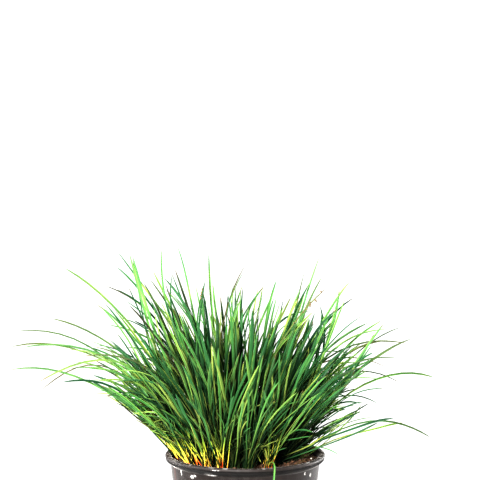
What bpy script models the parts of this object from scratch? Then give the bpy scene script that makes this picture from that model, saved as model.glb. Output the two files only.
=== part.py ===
"""A rush-like plant in a round nursery pot.

A clump of separate shoots stands in a pot of potting mix. Each shoot is one short crown with narrow
keeled leaves grown from it. The pot's axis is Z, its base stands on Z = 0, and -Y is the front.
"""

import math
import random

import bmesh
import bpy
import numpy as np

MM = 0.001  # sizes below are in millimetres, and meshes in metres

# Pot
RIM_RADIUS = 82.5
POT_HEIGHT = 165.0
RIM_DEPTH = 9.5  # from the top of the bead to where the skirt meets the wall
RIM_OVERHANG = 5.5
WALL = 1.6
WALL_SLOPE = math.radians(6.5)
FLOOR = 2.5
FOOT_ROUNDING = 2.0
POT_SIDES = 40
# The rim's outline from the wall up: in from the rim's radius, and down from its top
SKIRT = ((1.6, 6.4), (0.7, 4.6), (1.3, 3.9))
BEAD = ((0.0, 2.3), (0.5, 0.7), (2.2, 0.0), (5.2, 0.5))
BEAD_DEPTH_INSIDE = 4.0

# Potting mix, with levels from the rim's top down
MIX_AT_WALL = -7.0
MIX_IN_MIDDLE = -4.5
GAP = 0.3  # between pieces that touch
MIX_RINGS = (22.0, 44.0, 62.0)
MIX_RADIUS = RIM_RADIUS - RIM_OVERHANG - WALL - GAP

# Crowns
CLUMP_CENTRE = np.array([-8.0, 2.0])
CLUMP_RADIUS = 66.0
CLUMP_RIGHT = 53.0  # the potting mix is bare to the right of this
CROWN_RADIUS = 3.8
CROWN_HEIGHT = 2.6
CROWN_SPACING = 12.0
CROWN_REACH = 69.0  # a crown's centre is within this of the pot's axis
SPIRAL_PLACES = 60
SPIRAL_JITTER = 2.0

# Leaves in general
KEEL_DEPTH = 0.3  # share of the width
NARROW_FOOT = 0.8  # a leaf's width where it leaves the crown, as a share of its full width
FOOT_SHARE = 0.25  # of a leaf's length, over which it widens to its full width
TAPER_POWER = 3.2
KEEL_LIFT = 0.4  # the share of the keel's depth that is above the spine
TWIST = 0.8  # most turn of a leaf about its spine at the tip, in radians, to either side
TWIST_AT_FOOT = 0.4  # share of it
# How many sections a leaf has, and where: up to a bend in degrees, their shares of the way to the tip
SECTIONS = ((24, (0.32, 0.7)), (55, (0.25, 0.53, 0.8)), (181, (0.2, 0.42, 0.64, 0.84)))
SECTOR_MARGIN = math.radians(2.0)  # beside a leaf's foot, as seen along its shoot's axis
WIDEST_FOOT = math.radians(52.0)  # half the angle that a leaf's foot may take up
WIDEST_BARE_SECTOR = math.radians(60.0)
LOWEST_FIRST_SECTION = 1.5  # above the crown
# How often a leaf that meets another is moved before it is left out, and a shaped one before it sets out
# from the next of the shoots nearest to its place
TRIES = 220
TRIES_SHAPED = 40
SHOOTS_NEAR = 6
ROOM_BESIDE = 2.4  # kept free beside a leaf's edge, for half of a leaf that passes
NEAR_TIP = 0.75  # past this share of the way a leaf keeps less room free
ROOM_NEAR_TIP = 0.65
ROOM_ROUND_CROWN = 1.6
POINTS_OVER_CROWN = 8  # the first points of a leaf's path, which are over its own crown
LOWEST_OVER_MIX = -2.3
LOWEST_OVER_RIM = 2.5
LOWEST_OUTSIDE = -60.0
RIM_ZONE = (70.0, 87.0)  # distances from the axis between which a leaf passes over the rim

# The usual leaves, which fill the clump
LEAVES_PER_SHOOT = 12
LEAF_WIDTH = (2.8, 3.6, 4.8)  # least, usual and most
LEAF_LENGTH = (105.0, 172.0, 225.0)
LEAN_PER_MM = 0.0092  # tangent of the lean for each millimetre out from the clump's centre
LEAN_SPREAD = 0.21
BEND_DEGREES = (8.0, 9.0)  # how far a leaf bends over: mean and spread
BEND_FOR_LEAN = 0.45
ARCHING_SHARE = 0.13
ARCHING_DEGREES = (25.0, 55.0)
ELBOW_SHARES = (0.48, 0.62)  # how far along a usual leaf its elbow is
TURN_SPREAD = 0.2  # of a leaf's azimuth past the elbow
LEAF_DOME = (172.0, 165.0, 176.0)  # half sizes of the dome that the usual leaves fill
# A tip of theirs is above a cone that starts at this distance from the clump's centre
SKIRT_START = 66.0
SKIRT_RISE = 1.0

# Long arching leaves behind the clump: their number, spread, reach, height of the tip and arch
BACK_ARCHES = 16
BACK_SPREAD = 0.25
BACK_REACH = (140.0, 196.0)
BACK_TIPS = (48.0, 128.0)
BACK_ARCH = (24.0, 44.0)
BACK_WIDTH = (2.7, 3.4)

# Crowns that show along the front and the left: right of the pot's axis, and behind it
FRONT_CROWNS = (
    (-68, 2), (-57, -9), (-52, -28), (-37, -46), (-24, -52), (-11, -50),
    (1, -44), (23, -50), (34, -24), (47, -8), (46, 12), (-62, 18),
)

# Leaves that draw the outline and the front. Each has the place near which its crown is, its tip (right of
# the pot's axis, behind it and above the rim), how far it arches off the straight line, and its width
SHAPED_LEAVES = (
    # high on the left
    ((-33, 14), (-188, 25, 189), 18, 3.4),
    ((-28, 27), (-135, 40, 189), 16, 3.0),
    ((-9, 41), (-135, 55, 204), 7, 3.0),
    ((-57, -9), (-118, -5, 207), -2, 4.4),
    ((-34, -15), (-114, -12, 204), -6, 4.2),
    ((-15, 11), (-87, 30, 210), -16, 2.8),
    ((-24, -1), (-71, 20, 215), 5, 2.8),
    ((-28, 27), (-97, 62, 183), 6, 3.0),
    ((-26, 43), (-102, 75, 173), 10, 3.0),
    ((-24, -1), (-73, 10, 190), 4, 3.6),
    ((-19, -18), (-82, -20, 183), 17, 4.0),
    ((-31, -28), (-39, -28, 184), -14, 3.4),
    ((-6, -10), (-37, -8, 208), -6, 4.2),
    ((-24, -1), (1, 10, 194), 18, 3.2),
    ((-43, 23), (-148, 60, 167), 32, 3.0),
    ((-31, -28), (-118, -30, 157), 12, 3.0),
    ((-52, -28), (-144, -18, 159), 8, 3.4),
    ((-68, 2), (-149, 0, 152), 10, 3.2),
    ((0, 50), (-146, 70, 123), 24, 2.8),
    ((-58, 29), (-131, 35, 167), 27, 3.0),
    ((-43, 4), (-135, -14, 151), 6, 3.4),
    ((-62, 18), (-131, 18, 137), 6, 3.2),
    ((-57, -9), (-136, -5, 116), 12, 3.6),
    ((-34, -15), (-104, 0, 176), 6, 3.2),
    ((-44, 40), (-119, 60, 130), 21, 2.8),
    ((-44, 40), (-96, 50, 152), 14, 3.0),
    ((-26, 43), (-84, 45, 171), -2, 3.2),
    ((-9, 41), (-77, 35, 183), 2, 2.8),
    ((5, -24), (-59, -25, 158), 0, 3.8),
    ((-1, 3), (-75, 0, 155), -8, 3.6),
    ((-33, 14), (-85, 15, 165), 2, 3.4),
    ((-34, -15), (-96, -20, 160), 2, 4.2),
    ((-43, 4), (-105, 10, 155), -4, 3.4),
    # low arches on the left
    ((-33, 14), (-205, 50, 133), 22, 2.6),
    ((-62, 18), (-238, 30, 122), 34, 2.6),
    ((-43, 23), (-251, 65, 101), 37, 2.6),
    ((-31, -28), (-224, -35, 114), 38, 2.8),
    ((-68, 2), (-244, 10, 84), 28, 2.8),
    ((-52, -28), (-206, -60, 85), 56, 2.6),
    ((-58, 29), (-219, 80, 51), 52, 2.6),
    ((-68, 2), (-187, -20, 76), 25, 3.6),
    ((-37, -46), (-162, -70, 110), 36, 3.0),
    ((-62, 18), (-162, 30, 102), 24, 3.0),
    ((-57, -9), (-152, -28, 100), 11, 3.0),
    ((-57, -9), (-160, -10, 78), 5, 4.4),
    ((-44, 40), (-158, 45, 104), 20, 3.0),
    ((-54, -41), (-143, -15, 102), 10, 3.6),
    ((-68, 2), (-141, 5, 93), 6, 3.4),
    ((-54, -41), (-146, -35, 76), 6, 4.2),
    ((-43, 4), (-158, 20, 76), 10, 3.2),
    ((-62, 18), (-159, 45, 54), 16, 2.8),
    ((-52, -28), (-132, -50, 81), 34, 2.6),
    ((-57, -9), (-134, -30, 64), 0, 2.4),
    # upright in the middle
    ((-33, 14), (-2, 30, 171), 4, 3.0),
    ((2, 28), (-17, 20, 166), -9, 3.2),
    ((-10, -30), (-5, -30, 162), 13, 3.2),
    ((-24, -1), (-33, 5, 175), 4, 4.2),
    ((-34, -15), (-41, -20, 171), 4, 3.4),
    ((10, -10), (-2, -15, 153), -7, 5.0),
    ((-10, -30), (9, -30, 148), -4, 4.6),
    ((-28, 27), (41, 10, 154), -2, 3.4),
    ((-1, 3), (56, -10, 170), 2, 3.8),
    ((-15, 11), (62, 20, 166), -4, 4.6),
    ((-6, -10), (18, -25, 176), 20, 3.2),
    ((2, 28), (20, 45, 172), 6, 3.0),
    ((5, -24), (32, -10, 180), 6, 3.6),
    ((11, 39), (34, 60, 155), 8, 3.0),
    ((-9, 41), (48, 45, 159), 5, 2.8),
    ((18, 26), (63, 50, 184), 0, 3.0),
    ((-6, -10), (66, 0, 175), 4, 4.4),
    ((21, -3), (77, 15, 202), 3, 3.8),
    ((11, 39), (82, 70, 175), 6, 3.0),
    ((13, 9), (78, 30, 149), -26, 3.2),
    ((18, 26), (64, 30, 136), 4, 3.6),
    ((13, 9), (66, 0, 140), -4, 3.8),
    ((10, -10), (74, -25, 131), -8, 4.8),
    ((35, 22), (79, 10, 145), -9, 4.0),
    # high on the right
    ((-31, -28), (83, -40, 176), 13, 3.0),
    ((-19, -18), (94, -10, 170), 22, 2.8),
    ((31, 6), (97, 15, 169), -10, 3.8),
    ((17, -22), (94, -30, 153), 13, 3.4),
    ((31, 6), (110, 40, 173), 14, 3.6),
    ((34, -24), (102, -20, 163), -1, 3.8),
    ((26, 40), (117, 75, 152), 20, 2.8),
    ((17, -22), (118, -50, 149), 14, 3.2),
    ((31, 6), (126, 20, 135), 18, 3.2),
    ((31, 6), (111, 20, 116), 13, 3.0),
    ((-15, 11), (121, 10, 123), -4, 3.4),
    ((35, 22), (146, 60, 130), 14, 3.0),
    ((34, -24), (142, -5, 135), -2, 4.2),
    ((35, 22), (149, 30, 124), 32, 3.0),
    ((43, 37), (168, 85, 119), 18, 2.8),
    ((46, 12), (173, 10, 117), 16, 3.8),
    ((17, -22), (104, -40, 116), 6, 5.0),
    ((18, 26), (122, 50, 98), 11, 3.4),
    ((47, -8), (129, -15, 100), 3, 3.8),
    ((18, 26), (135, 25, 121), -6, 3.4),
    ((43, 37), (150, 40, 107), 26, 3.0),
    ((31, 6), (129, -20, 107), 9, 3.4),
    ((16, -37), (108, -30, 88), 2, 4.0),
    # low arches on the right
    ((18, 26), (174, 50, 105), 36, 2.8),
    ((26, 40), (157, 90, 72), 48, 2.6),
    ((34, -24), (153, -55, 106), 31, 2.6),
    ((47, -8), (199, 35, 72), 32, 3.0),
    ((21, -3), (168, -25, 85), 16, 3.0),
    ((43, 37), (169, 80, 57), 39, 2.8),
    ((35, 22), (144, 60, 40), 28, 2.6),
    ((34, -24), (150, -40, 43), 6, 3.6),
    ((17, -22), (137, -20, 38), -4, 3.8),
    ((47, -8), (192, 0, 15), 24, 2.6),
    ((47, -8), (170, 20, 21), 5, 2.8),
    ((46, 12), (136, 35, 30), 7, 2.6),
    # low across the front
    ((30, -20), (95, -28, 3), 10, 3.2),
    ((24, -34), (67, -80, 36), 13, 3.2),
    ((-11, -50), (21, -78, 65), 14, 3.0),
    ((-11, -50), (26, -66, 19), 7, 3.0),
    ((1, -44), (16, -71, 4), 9, 2.8),
    ((23, -50), (28, -102, -24), 24, 2.8),
    ((23, -50), (55, -46, 117), 1, 3.6),
    ((23, -50), (34, -78, 117), -4, 3.2),
    ((23, -50), (25, -60, 95), -3, 3.2),
)
ELBOW_PLACE = 0.64  # the share of the straight line under the elbow of an arching leaf
MOVE_PER_TRY = np.array([0.12, 0.56, 0.12])


def clear_scene():
    for thing in list(bpy.data.objects):
        bpy.data.objects.remove(thing)


def plain_material(name, colour, roughness):
    material = bpy.data.materials.new(name)
    material.use_nodes = True
    shader = material.node_tree.nodes["Principled BSDF"]
    shader.inputs["Base Color"].default_value = (*colour, 1.0)
    shader.inputs["Roughness"].default_value = roughness
    shader.inputs["Metallic"].default_value = 0.0
    return material


def add_object(name, bm, material, smooth_to=None):
    """Makes the object; below the angle smooth_to, in degrees, its edges are shaded smooth."""
    bmesh.ops.recalc_face_normals(bm, faces=bm.faces)
    mesh = bpy.data.meshes.new(name)
    bm.to_mesh(mesh)
    bm.free()
    mesh.materials.append(material)
    if smooth_to:
        mesh.shade_smooth()
        mesh.set_sharp_from_angle(angle=math.radians(smooth_to))
    thing = bpy.data.objects.new(name, mesh)
    bpy.context.scene.collection.objects.link(thing)
    return thing


def turned(profile):
    """A solid turned round Z from (radius, height) points that start and end on the axis."""
    bm = bmesh.new()
    points = [bm.verts.new((radius * MM, 0.0, height * MM)) for radius, height in profile]
    edges = [bm.edges.new(pair) for pair in zip(points[:-1], points[1:])]
    bmesh.ops.spin(
        bm, geom=points + edges, cent=(0, 0, 0), axis=(0, 0, 1),
        angle=math.tau, steps=POT_SIDES, use_merge=True,
    )
    bmesh.ops.remove_doubles(bm, verts=bm.verts, dist=0.01 * MM)
    return bm


def wall_radius(height):
    """The wall's outer radius at a height above the surface that the pot stands on."""
    return RIM_RADIUS - RIM_OVERHANG - (POT_HEIGHT - RIM_DEPTH - height) * math.tan(WALL_SLOPE)


def make_pot():
    wall_top = POT_HEIGHT - RIM_DEPTH
    inner = wall_radius(wall_top) - WALL
    outside = [
        (0, 0),
        (wall_radius(0) - FOOT_ROUNDING, 0),
        (wall_radius(FOOT_ROUNDING), FOOT_ROUNDING),
        (wall_radius(wall_top), wall_top),
    ]
    rim = [(RIM_RADIUS - inward, POT_HEIGHT - down) for inward, down in SKIRT + BEAD]
    inside = [
        (inner, POT_HEIGHT - BEAD_DEPTH_INSIDE),
        (inner, wall_top),
        (wall_radius(FLOOR) - WALL, FLOOR),
        (0, FLOOR),
    ]
    plastic = plain_material("pot plastic", (0.045, 0.038, 0.036), 0.42)
    add_object("pot", turned(outside + rim + inside), plastic, smooth_to=35)


def mix_level(out):
    """The potting mix's level at a distance from the axis: a low mound in flat steps."""
    rings = np.array([0.0, *MIX_RINGS, MIX_RADIUS])
    levels = MIX_AT_WALL + (MIX_IN_MIDDLE - MIX_AT_WALL) * (1 - (rings / MIX_RADIUS) ** 2)
    return float(np.interp(out, rings, levels))


def make_mix():
    floor = FLOOR + GAP
    profile = [(0, floor), (wall_radius(floor) - WALL - GAP, floor)]
    profile += [(out, POT_HEIGHT + mix_level(out)) for out in (MIX_RADIUS, *reversed(MIX_RINGS), 0.0)]
    bark = plain_material("bark and compost", (0.035, 0.022, 0.014), 0.95)
    add_object("potting_mix", turned(profile), bark, smooth_to=35)


def crown_places():
    """The front crowns, then the rest in a sunflower's spiral wherever there is room."""
    golden = math.pi * (3 - math.sqrt(5))
    draw = random.Random(5)
    places = [(float(x), float(y)) for x, y in FRONT_CROWNS]
    for k in range(SPIRAL_PLACES):
        out = CLUMP_RADIUS * math.sqrt((k + 0.5) / SPIRAL_PLACES)
        x = CLUMP_CENTRE[0] + out * math.cos(k * golden) + draw.uniform(-SPIRAL_JITTER, SPIRAL_JITTER)
        y = CLUMP_CENTRE[1] + out * math.sin(k * golden) + draw.uniform(-SPIRAL_JITTER, SPIRAL_JITTER)
        nearest = min(math.hypot(x - a, y - b) for a, b in places)
        if nearest > CROWN_SPACING and math.hypot(x, y) < CROWN_REACH and x < CLUMP_RIGHT:
            places.append((x, y))
    return places


def wrapped(angle):
    """The angle brought within half a turn of zero."""
    return (angle + math.pi) % math.tau - math.pi


class Leaf:
    """A leaf's spine is a quadratic curve that sets out towards an elbow and bends over to its tip."""

    def __init__(self, base, elbow, tip, width, twist):
        self.width, self.twist = width, twist
        self.base, self.elbow, self.tip = base, elbow, tip
        start, end = elbow - base, tip - elbow
        cosine = start @ end / (np.linalg.norm(start) * np.linalg.norm(end))
        bend = math.degrees(math.acos(max(-1.0, min(1.0, cosine))))
        self.rings = next(places for most, places in SECTIONS if bend < most)

    def at(self, t):
        """The points of the spine at the shares t of the way, from 0 at the base to 1 at the tip."""
        t = np.asarray(t, float)[:, None]
        return (1 - t) ** 2 * self.base + 2 * t * (1 - t) * self.elbow + t ** 2 * self.tip

    def width_at(self, t):
        """The width grows from the crown over the foot's share and tapers to nothing at the tip."""
        foot = NARROW_FOOT + (1 - NARROW_FOOT) * min(1.0, t / FOOT_SHARE)
        return self.width * (1 - t ** TAPER_POWER) * foot

    def path(self):
        """Close points along the straight runs from ring to ring, and how many are below the first ring."""
        corners = self.at((0.0,) + self.rings + (1.0,))
        runs = []
        for a, b in zip(corners[:-1], corners[1:]):
            count = max(2, math.ceil(np.linalg.norm(b - a) / Room.CELL))
            runs.append(a + (b - a) * (np.arange(count) / count)[:, None])
        return np.concatenate(runs), len(runs[0])

    def section(self, t):
        """The three corners of a section: left edge, keel and right edge, counter-clockwise from the tip."""
        centre = self.at([t])[0]
        tangent = (1 - t) * (self.elbow - self.base) + t * (self.tip - self.elbow)
        tangent /= np.linalg.norm(tangent)
        across = np.cross((0.0, 0.0, 1.0), self.tip - self.base)
        across -= tangent * (across @ tangent)
        across /= np.linalg.norm(across)
        above = np.cross(tangent, across)
        turn = self.twist * (TWIST_AT_FOOT + (1 - TWIST_AT_FOOT) * t)
        side = math.cos(turn) * across + math.sin(turn) * above
        upper = math.cos(turn) * above - math.sin(turn) * across
        half = 0.5 * self.width_at(t)
        keel = 2 * half * KEEL_DEPTH
        edges = centre + KEEL_LIFT * keel * upper
        return np.array([edges - half * side, edges - keel * upper, edges + half * side])


class Shoot:
    """A crown, and the leaves that fan out round its leaning axis, each on a sector of its own."""

    def __init__(self, number, place):
        self.number = number
        self.crown = np.array([*place, mix_level(math.hypot(*place)) + GAP + CROWN_HEIGHT])
        self.lean = LEAN_PER_MM * (self.crown[:2] - CLUMP_CENTRE)
        self.leaves = []

    def bearings(self, points):
        """The directions of points from the axis, as seen along it."""
        off = points[:, :2] - self.crown[:2] - (points[:, 2:] - self.crown[2]) * self.lean
        return np.arctan2(off[:, 1], off[:, 0])

    def fits(self, leaf):
        """Notes the angle that the leaf's foot takes up. True if it is above the crown and still free."""
        section = leaf.section(leaf.rings[0])
        middle = self.bearings(leaf.at(leaf.rings[:1]))[0]
        turns = wrapped(self.bearings(section) - middle)
        leaf.bearing = middle + 0.5 * (turns.max() + turns.min())
        leaf.half_span = 0.5 * (turns.max() - turns.min()) + SECTOR_MARGIN
        if leaf.half_span > WIDEST_FOOT or section[:, 2].min() < self.crown[2] + LOWEST_FIRST_SECTION:
            return False
        return all(
            abs(wrapped(leaf.bearing - other.bearing)) > leaf.half_span + other.half_span
            for other in self.leaves
        )

    def sectors(self):
        """The crown's corners in order, as angles, each with the leaf on the sector after it, or None."""
        leaves = sorted(self.leaves, key=lambda leaf: leaf.bearing % math.tau)
        corners = []
        for leaf, following in zip(leaves, leaves[1:] + leaves[:1]):
            end = leaf.bearing + leaf.half_span
            gap = (following.bearing - following.half_span - end) % math.tau
            shares = math.ceil(gap / WIDEST_BARE_SECTOR)
            for share in range(shares):
                on_it = following if share == shares - 1 else None
                corners.append((end + gap * (share + 0.5) / shares, on_it))
        return corners


class Room:
    """The air round the clump in small cells. Each holds 0 if it is free, TAKEN if a leaf passes, or a
    shoot's number and 1 near its crown, where only that shoot's own leaves may set out."""

    CELL = 1.25
    LOW = np.array([-270.0, -190.0, -50.0])
    COUNT = np.array([400, 330, 240])
    BALL = 5  # cells from the middle of the largest ball that is marked
    TAKEN = -1

    def __init__(self):
        self.owner = np.zeros(self.COUNT, np.int16)

    def cells(self, points):
        index = np.round((points - self.LOW) / self.CELL).astype(int)
        return np.clip(index, self.BALL, self.COUNT - 1 - self.BALL)

    def is_free(self, leaf, shoot):
        points, below = leaf.path()
        x, y, z = self.cells(points).T
        owner = self.owner[x, y, z]
        setting_out = np.arange(len(points)) < below
        return bool(((owner == 0) | (setting_out & (owner == shoot.number + 1))).all())

    def mark(self, points, radius, owner):
        """Marks the cells within a radius of the points. Those of two owners are taken."""
        span = np.arange(-self.BALL, self.BALL + 1)
        ball = np.stack(np.meshgrid(span, span, span, indexing="ij"), -1).reshape(-1, 3)
        ball = ball[np.linalg.norm(ball * self.CELL, axis=1) <= radius]
        x, y, z = (self.cells(points)[:, None, :] + ball[None]).reshape(-1, 3).T
        before = self.owner[x, y, z]
        self.owner[x, y, z] = np.where((before == 0) | (before == owner), owner, self.TAKEN)

    def take(self, leaf, shoot):
        """Marks what another leaf's spine would have to keep out of, less near the tip."""
        points, below = leaf.path()
        near_tip = int(NEAR_TIP * len(points))
        reach = 0.5 * leaf.width + ROOM_BESIDE
        self.mark(points[:below], reach, shoot.number + 1)
        self.mark(points[below:near_tip], reach, self.TAKEN)
        self.mark(points[near_tip:], ROOM_NEAR_TIP * reach, self.TAKEN)


def clears_pot(leaf):
    """True if the leaf stays above the potting mix and passes over the rim."""
    points = leaf.path()[0][POINTS_OVER_CROWN:]
    out = np.hypot(points[:, 0], points[:, 1])
    zones = [out < RIM_ZONE[0], out < RIM_ZONE[1]]
    lowest = np.select(zones, [LOWEST_OVER_MIX, LOWEST_OVER_RIM], LOWEST_OUTSIDE)
    return bool((points[:, 2] > lowest).all())


def heading(lean, azimuth):
    flat = math.sin(lean)
    return np.array([flat * math.cos(azimuth), flat * math.sin(azimuth), math.cos(lean)])


def arching_leaf(base, tip, arch, width, twist):
    """A leaf whose elbow stands off the straight line from its base to its tip, on the upper side."""
    chord = tip - base
    above = np.cross(chord, np.cross((0.0, 0.0, 1.0), chord))
    elbow = base + ELBOW_PLACE * chord + 2 * arch * above / np.linalg.norm(above)
    return Leaf(base, elbow, tip, width, twist)


def shaped_leaf(number, shoot, attempt):
    """One of the shaped leaves. After the first attempt its tip is moved a little, mostly in depth."""
    tip, arch, width = SHAPED_LEAVES[number][1:]
    draw = random.Random(f"shaped {number} {attempt}")
    move = attempt * MOVE_PER_TRY * np.array([draw.uniform(-1, 1) for axis in range(3)])
    return arching_leaf(shoot.crown, np.array(tip) + move, arch, width, draw.uniform(-TWIST, TWIST))


def back_arch(number, shoot, attempt):
    """One of the long arching leaves behind the clump, away from the clump's centre."""
    draw = random.Random(f"behind {number} {attempt}")
    away = shoot.crown[:2] - CLUMP_CENTRE
    azimuth = math.atan2(away[1], away[0]) + draw.gauss(0, BACK_SPREAD)
    reach = draw.uniform(*BACK_REACH) * np.array([math.cos(azimuth), math.sin(azimuth)])
    tip = np.array([*(CLUMP_CENTRE + reach), draw.uniform(*BACK_TIPS)])
    arch, width = draw.uniform(*BACK_ARCH), draw.uniform(*BACK_WIDTH)
    return arching_leaf(shoot.crown, tip, arch, width, draw.uniform(-TWIST, TWIST))


def usual_leaf(number, shoot, attempt):
    """A leaf that leans outwards with its shoot and bends over a little. None if its tip is outside the
    dome or under the skirt."""
    draw = random.Random(f"usual {shoot.number} {number} {attempt}")
    lean = shoot.lean + np.array([draw.gauss(0, LEAN_SPREAD), draw.gauss(0, LEAN_SPREAD)])
    azimuth = math.atan2(lean[1], lean[0])
    start = math.atan(math.hypot(*lean))
    bend = math.radians(draw.gauss(*BEND_DEGREES)) + BEND_FOR_LEAN * start
    if draw.random() < ARCHING_SHARE:
        bend += math.radians(draw.uniform(*ARCHING_DEGREES))
    length = draw.triangular(LEAF_LENGTH[0], LEAF_LENGTH[2], LEAF_LENGTH[1])
    share = draw.uniform(*ELBOW_SHARES)
    elbow = shoot.crown + share * length * heading(start, azimuth)
    tip = elbow + (1 - share) * length * heading(start + bend, azimuth + draw.gauss(0, TURN_SPREAD))
    width = draw.triangular(LEAF_WIDTH[0], LEAF_WIDTH[2], LEAF_WIDTH[1])
    off = tip - np.array([*CLUMP_CENTRE, 0.0])
    above_skirt = off[2] - SKIRT_RISE * (math.hypot(*off[:2]) - SKIRT_START)
    if np.linalg.norm(off / np.array(LEAF_DOME)) > 1 or above_skirt < 0:
        return None
    return Leaf(shoot.crown, elbow, tip, width, draw.uniform(-TWIST, TWIST))


def place_leaf(room, make, number, shoot, tries=TRIES):
    """Adds the first attempt that has room. True if there was one."""
    for attempt in range(tries):
        leaf = make(number, shoot, attempt)
        if leaf and clears_pot(leaf) and shoot.fits(leaf) and room.is_free(leaf, shoot):
            room.take(leaf, shoot)
            shoot.leaves.append(leaf)
            return True
    return False


def place_shaped_leaf(room, number, shoots):
    """Adds the shaped leaf to the nearest of the shoots that has room for it."""
    x, y = SHAPED_LEAVES[number][0]
    by_distance = sorted(shoots, key=lambda shoot: math.hypot(shoot.crown[0] - x, shoot.crown[1] - y))
    for shoot in by_distance[:SHOOTS_NEAR]:
        if place_leaf(room, shaped_leaf, number, shoot, TRIES_SHAPED):
            return


def grow_shoots():
    shoots = [Shoot(number, place) for number, place in enumerate(crown_places())]
    room = Room()
    for shoot in shoots:
        room.mark(shoot.crown[None], CROWN_RADIUS + ROOM_ROUND_CROWN, shoot.number + 1)
    for number in range(len(SHAPED_LEAVES)):
        place_shaped_leaf(room, number, shoots)
    behind = sorted(shoots, key=lambda shoot: -shoot.crown[1])
    for number, shoot in enumerate(behind[:BACK_ARCHES]):
        place_leaf(room, back_arch, number, shoot)
    for number in range(LEAVES_PER_SHOOT):
        for shoot in shoots:
            if len(shoot.leaves) <= number:
                place_leaf(room, usual_leaf, number, shoot)
    return shoots


def best_match(corners, section):
    """The section's corners, turned so that its straight run from three crown corners twists least."""
    corners = np.array(corners) - np.mean(corners, axis=0)
    flat = section - section.mean(axis=0)
    errors = [((corners - np.roll(flat, turn, axis=0)) ** 2).sum() for turn in range(3)]
    return np.roll(section, int(np.argmin(errors)), axis=0)


def add_side(bm, a, b, c, d):
    """Two triangles between four corners, met along whichever diagonal bulges outwards."""
    outward = (c.co - a.co).cross(d.co - b.co)
    if (a.co + c.co - b.co - d.co).dot(outward) > 0:
        bm.faces.new([a, b, c])
        bm.faces.new([a, c, d])
    else:
        bm.faces.new([a, b, d])
        bm.faces.new([b, c, d])


def make_shoot(shoot, green):
    """One crown, a low prism with a sector for each leaf, and the leaves extruded from the sectors."""
    sectors = shoot.sectors()
    sides = len(sectors)
    bm = bmesh.new()

    def vertex(point):
        return bm.verts.new((point[0] * MM, point[1] * MM, (point[2] + POT_HEIGHT) * MM))

    rim = [
        shoot.crown + CROWN_RADIUS * np.array([math.cos(angle), math.sin(angle), 0.0])
        for angle, leaf in sectors
    ]
    top = [vertex(point) for point in rim]
    foot = [vertex((x, y, mix_level(math.hypot(x, y)) + GAP)) for x, y, z in rim]
    middle = vertex(shoot.crown)
    bm.faces.new(list(reversed(foot)))
    for k, (angle, leaf) in enumerate(sectors):
        following = (k + 1) % sides
        bm.faces.new([foot[k], foot[following], top[following], top[k]])
        ring = [middle, top[k], top[following]]
        if leaf is None:
            bm.faces.new(ring)
            continue
        points = [shoot.crown, rim[k], rim[following]]
        for t in leaf.rings:
            points = best_match(points, leaf.section(t))
            upper = [vertex(point) for point in points]
            for side in range(3):
                beside = (side + 1) % 3
                add_side(bm, ring[side], ring[beside], upper[beside], upper[side])
            ring = upper
        tip = vertex(leaf.tip)
        for side in range(3):
            bm.faces.new([ring[side], ring[(side + 1) % 3], tip])
    add_object(f"shoot_{shoot.number + 1:02d}", bm, green)


def make_shoots():
    for shoot in grow_shoots():
        light = random.Random(shoot.number).uniform(0.8, 1.25)
        colour = (0.06 * light, 0.24 * light, 0.035)
        make_shoot(shoot, plain_material(f"leaf {shoot.number + 1:02d}", colour, 0.45))


clear_scene()
make_pot()
make_mix()
make_shoots()
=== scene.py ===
import math
from collections import Counter
import bmesh
import bpy
import numpy as np
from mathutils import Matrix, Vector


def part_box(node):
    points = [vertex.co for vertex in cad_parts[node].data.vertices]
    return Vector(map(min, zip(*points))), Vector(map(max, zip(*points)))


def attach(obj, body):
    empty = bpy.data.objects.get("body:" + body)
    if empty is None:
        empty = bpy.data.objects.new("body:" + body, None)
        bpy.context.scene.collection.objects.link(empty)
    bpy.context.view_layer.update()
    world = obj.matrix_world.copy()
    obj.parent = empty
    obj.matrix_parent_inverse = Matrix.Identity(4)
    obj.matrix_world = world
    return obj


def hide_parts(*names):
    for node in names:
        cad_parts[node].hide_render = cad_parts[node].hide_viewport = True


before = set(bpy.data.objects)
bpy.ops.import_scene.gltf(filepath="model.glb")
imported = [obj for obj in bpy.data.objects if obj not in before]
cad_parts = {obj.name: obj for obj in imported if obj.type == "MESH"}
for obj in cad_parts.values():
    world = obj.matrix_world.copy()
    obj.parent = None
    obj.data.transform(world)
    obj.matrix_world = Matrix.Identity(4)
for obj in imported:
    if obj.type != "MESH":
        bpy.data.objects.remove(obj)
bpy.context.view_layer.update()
mm = 0.001
shootNames = sorted(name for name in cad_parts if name.startswith("shoot"))
draw = np.random.default_rng(11)
print("frame loaded,", len(shootNames), "shoots")


# Shader maths

class Wire:
    # A value socket. Each operator adds one Math node to the material.
    def __init__(self, paint, socket):
        self.paint = paint
        self.socket = socket

    def math(self, operation, *values):
        return self.paint.node("ShaderNodeMath", {"operation": operation}, dict(enumerate(values)))

    def __add__(self, other):
        return self.math("ADD", self, other)

    __radd__ = __add__

    def __sub__(self, other):
        return self.math("SUBTRACT", self, other)

    def __rsub__(self, other):
        return self.math("SUBTRACT", other, self)

    def __mul__(self, other):
        return self.math("MULTIPLY", self, other)

    __rmul__ = __mul__

    def step(self, low, high):
        # 0 below low and 1 above high, with a smooth rise between. high may be the lower of the two.
        wires = {0: self, 1: low, 2: high}
        return self.paint.node("ShaderNodeMapRange", {"interpolation_type": "SMOOTHSTEP"}, wires)

    def atMost(self, other):
        return self.math("MINIMUM", self, other)

    def distance(self, other):
        return self.math("ABSOLUTE", self - other)


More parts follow.
